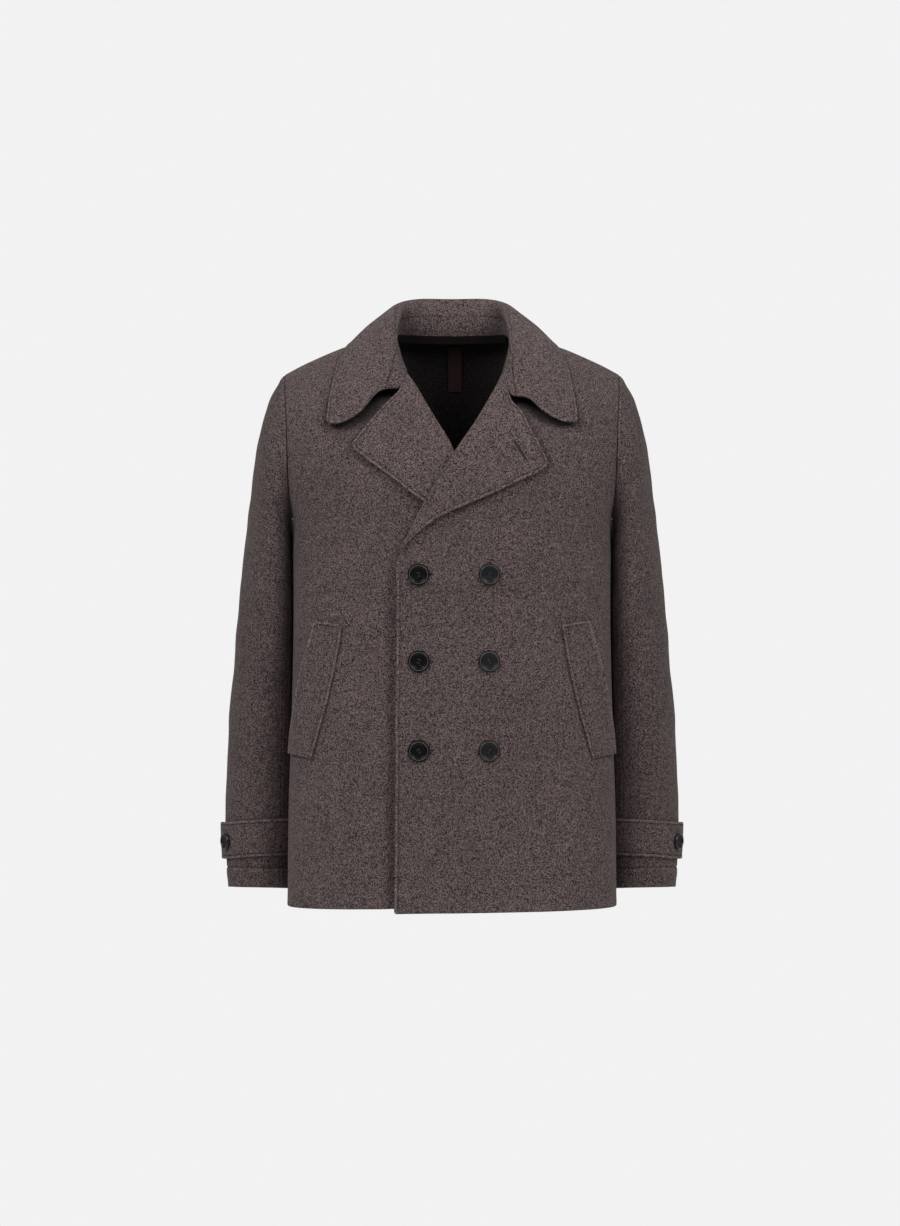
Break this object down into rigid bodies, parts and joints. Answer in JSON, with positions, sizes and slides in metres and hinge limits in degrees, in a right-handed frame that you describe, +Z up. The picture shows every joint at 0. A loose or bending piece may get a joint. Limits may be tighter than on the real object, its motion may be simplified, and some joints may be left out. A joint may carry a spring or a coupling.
{
  "type": "double-breasted pea coat",
  "caption": "Hip-length double-breasted wool coat, filled out and hollow, with wide lapels, a turned-down collar, slanted pocket welts and buttoned cuff straps.",
  "frame": {"origin": "middle of the neck opening, level with the neck ends of the shoulder seams, where the wearer's shoulders hold the coat up", "axes": "+Z up, -Y towards the front of the coat, +X towards the wearer's left"},
  "size_m": [0.6054, 0.2814, 0.7933],
  "materials": {
    "wool": "felted melton wool, grey-brown mixture",
    "tape": "dark brown woven tape",
    "button": "polished black",
    "thread": "sewing thread"
  },
  "bodies": {
    "root": {"back_left": "wool", "back_right": "wool", "front_left": "wool", "front_right": "wool", "lapel_left": "wool", "lapel_right": "wool", "collar": "wool", "collar_stand": "wool", "sleeve_left_top": "wool", "sleeve_left_under": "wool", "sleeve_right_top": "wool", "sleeve_right_under": "wool", "strap_left": "wool", "strap_right": "wool", "welt_left": "wool", "welt_right": "wool", "neck_tape": "tape", "hanger_strip": "tape", "button_right_1": "button", "button_right_2": "button", "button_right_3": "button", "button_left_1": "button", "button_left_2": "button", "button_left_3": "button", "cuff_button_left": "button", "cuff_button_right": "button"}
  },
  "joints": []
}
